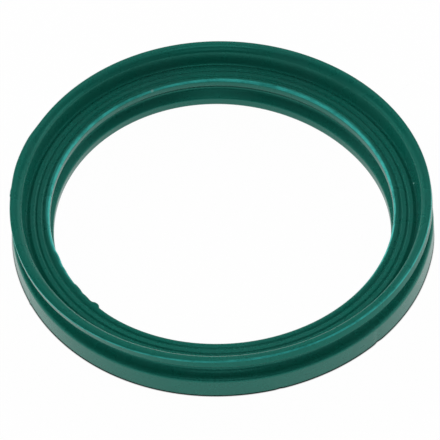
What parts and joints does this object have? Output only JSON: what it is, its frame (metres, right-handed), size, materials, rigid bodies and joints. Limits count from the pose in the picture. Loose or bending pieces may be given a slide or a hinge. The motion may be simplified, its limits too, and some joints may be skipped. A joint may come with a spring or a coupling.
{
  "type": "coupling gasket",
  "caption": "Round moulded rubber gasket that seals a coupling, with a flared lip over an outer groove, a flange, a finely ribbed sealing face and an undercut bore.",
  "frame": {"origin": "centre of the ring on its flat base, where the turning axis meets the plane that it rests on", "axes": "+Z is the ring's axis, from the flat base up to the lip's crest; +X and +Y lie in the base plane and are equivalent, because the section is turned"},
  "size_m": [0.0726, 0.0726, 0.009],
  "materials": {
    "moulded_rubber": "petrol green moulded rubber, satin, with soft highlights along its edges"
  },
  "bodies": {
    "root": {"gasket_ring": "moulded_rubber"}
  },
  "joints": []
}
